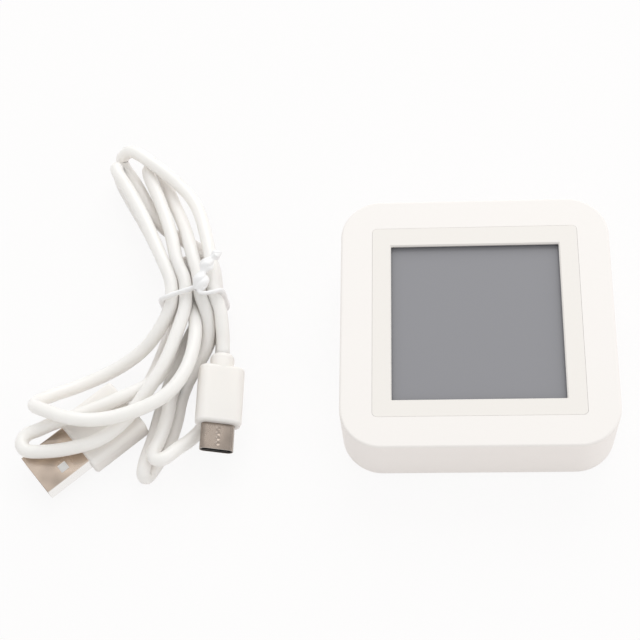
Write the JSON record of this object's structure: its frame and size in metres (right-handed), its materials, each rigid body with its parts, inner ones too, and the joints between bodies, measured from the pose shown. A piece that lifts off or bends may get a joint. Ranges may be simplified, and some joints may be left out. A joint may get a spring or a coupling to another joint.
{
  "type": "temperature and humidity sensor",
  "caption": "Square white desk sensor with a blank display in a framed window, vents, a fold-out stand and a pairing button, with its tied power lead beside it.",
  "frame": {"origin": "under the middle of the sensor, on the surface it lies on", "axes": "+Z out of the display, +Y towards the display's top, +X towards its right-hand side"},
  "size_m": [0.1469, 0.099, 0.018],
  "materials": {
    "housing_white": "satin moulded warm white",
    "bezel_white": "satin moulded warm white",
    "cover_white": "finely textured warm white",
    "button_white": "smooth warm white",
    "foam_dark": "closed-cell foam",
    "lcd_grey": "anti-glare film over a blank display",
    "lcd_glass": "thin display glass",
    "lcd_rear_film": "polarising film",
    "light_guide": "clear light guide",
    "reflector_white": "white reflecting film",
    "led_white": "white side-emitting lamp",
    "carrier_white": "moulded white",
    "tinned_pins": "tinned",
    "board_green": "green solder mask",
    "module_board": "dark blue solder mask",
    "shield_steel": "tinned steel",
    "chip_black": "moulded black",
    "chip_white": "white package",
    "capacitor_can": "plain can",
    "switch_black": "moulded black",
    "mesh_dark": "fine woven filter",
    "plug_steel": "bright nickelled steel",
    "insert_black": "moulded black",
    "tongue_white": "moulded white",
    "gold_contacts": "gold flash",
    "screw_steel": "zinc plated",
    "pin_steel": "plain ground pin",
    "foot_rubber": "soft grey",
    "cable_white": "white flexible sheath",
    "tie_white": "plastic-coated wire",
    "moulding_white": "soft white moulding"
  },
  "bodies": {
    "sensor": {"front_housing": "housing_white", "rear_cover": "cover_white", "display_bezel": "bezel_white", "lcd_gasket": "foam_dark", "lcd_front_polariser": "lcd_grey", "lcd_front_glass": "lcd_glass", "lcd_rear_glass": "lcd_glass", "lcd_rear_polariser": "lcd_rear_film", "backlight_guide": "light_guide", "backlight_reflector": "reflector_white", "backlight_leds": "led_white", "lcd_carrier": "carrier_white", "lcd_pins": "tinned_pins", "main_board": "board_green", "wireless_module": "module_board", "wireless_shield_can": "shield_steel", "lcd_driver_chip": "chip_black", "voltage_regulator": "chip_black", "board_capacitors": "capacitor_can", "pairing_switch": "switch_black", "sensor_board": "board_green", "humidity_sensor_chip": "chip_white", "dust_mesh": "mesh_dark", "usb_c_socket_shell": "plug_steel", "usb_c_socket_tongue": "insert_black", "usb_c_socket_contacts": "gold_contacts", "stand_hinge_pin": "pin_steel", "rear_cover_screw_1": "screw_steel", "board_screw_1": "screw_steel", "foot_1": "foot_rubber", "rear_cover_screw_2": "screw_steel", "board_screw_2": "screw_steel", "foot_2": "foot_rubber", "rear_cover_screw_3": "screw_steel", "board_screw_3": "screw_steel", "foot_3": "foot_rubber", "rear_cover_screw_4": "screw_steel", "board_screw_4": "screw_steel", "foot_4": "foot_rubber"},
    "pairing_button": {"pairing_button": "button_white", "switch_plunger": "switch_black"},
    "stand": {"stand": "cover_white"},
    "power_lead": {"power_cable": "cable_white", "twist_tie": "tie_white", "usb_c_plug_moulding": "moulding_white", "usb_c_plug_shell": "plug_steel", "usb_c_plug_insert": "insert_black", "usb_c_plug_contacts": "gold_contacts", "usb_a_plug_moulding": "moulding_white", "usb_a_plug_shell": "plug_steel", "usb_a_plug_tongue": "tongue_white", "usb_a_plug_contacts": "gold_contacts"}
  },
  "joints": [
    {"name": "pairing_button_press", "type": "slide", "parent": "sensor", "child": "pairing_button", "axis": [0, 0, 1], "range_m": [0, 0.0003], "stiffness_N_per_m": 800},
    {"name": "stand_fold", "type": "hinge", "parent": "sensor", "child": "stand", "pos_m": [0, -0.018, 0.00155], "axis": [-1, 0, 0], "range_deg": [0, 108]},
    {"name": "lead_lift", "type": "slide", "parent": "sensor", "child": "power_lead", "axis": [0, 0, 1], "range_m": [0, 0.06]}
  ]
}
